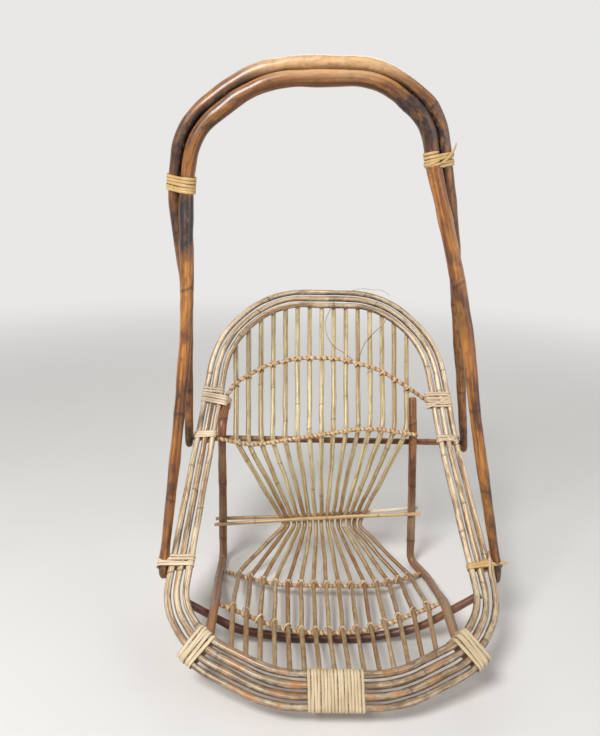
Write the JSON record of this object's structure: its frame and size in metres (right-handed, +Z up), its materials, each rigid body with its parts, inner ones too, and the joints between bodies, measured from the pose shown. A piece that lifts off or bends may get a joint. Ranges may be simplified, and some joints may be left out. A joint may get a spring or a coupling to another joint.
{
  "type": "jhoola swing",
  "caption": "Hanging cane chair with a bent arch to hang it by, a laced spoke back and seat in an oval three-cane rim, and rails that let it stand on the floor.",
  "frame": {"origin": "on the floor under the middle of the bounding box", "axes": "+Z up, +Y towards the back of the seat, +X to the right for someone who looks at the front of the chair"},
  "size_m": [0.8, 0.7954, 1.2448],
  "materials": {
    "hanger_cane": "lacquered",
    "rim_cane": "satin",
    "spoke_cane": "satin",
    "frame_cane": "lacquered",
    "binding_strip": "satin"
  },
  "bodies": {
    "root": {"arm_lashings": "binding_strip", "back_crossbar": "frame_cane", "front_lashings": "binding_strip", "front_seat_rib": "spoke_cane", "front_under_cane_left": "rim_cane", "front_under_cane_right": "rim_cane", "hanger_pole_front": "hanger_cane", "hanger_pole_rear": "hanger_cane", "hanger_ties": "binding_strip", "leg_lashings": "binding_strip", "middle_back_rib": "spoke_cane", "rear_seat_rib": "spoke_cane", "rim_cane_inner": "rim_cane", "rim_cane_middle": "rim_cane", "rim_cane_outer": "rim_cane", "rim_cane_outer_front": "rim_cane", "seat_cross_pole": "frame_cane", "seat_rail_left": "frame_cane", "seat_rail_right": "frame_cane", "spoke_01": "spoke_cane", "spoke_02": "spoke_cane", "spoke_03": "spoke_cane", "spoke_04": "spoke_cane", "spoke_05": "spoke_cane", "spoke_06": "spoke_cane", "spoke_07": "spoke_cane", "spoke_08": "spoke_cane", "spoke_09": "spoke_cane", "spoke_10": "spoke_cane", "spoke_11": "spoke_cane", "spoke_12": "spoke_cane", "spoke_13": "spoke_cane", "spoke_14": "spoke_cane", "spoke_15": "spoke_cane", "upper_back_rib": "spoke_cane", "upper_rim_lashings": "binding_strip", "waist_bar_front": "spoke_cane", "waist_bar_rear": "spoke_cane"}
  },
  "joints": []
}
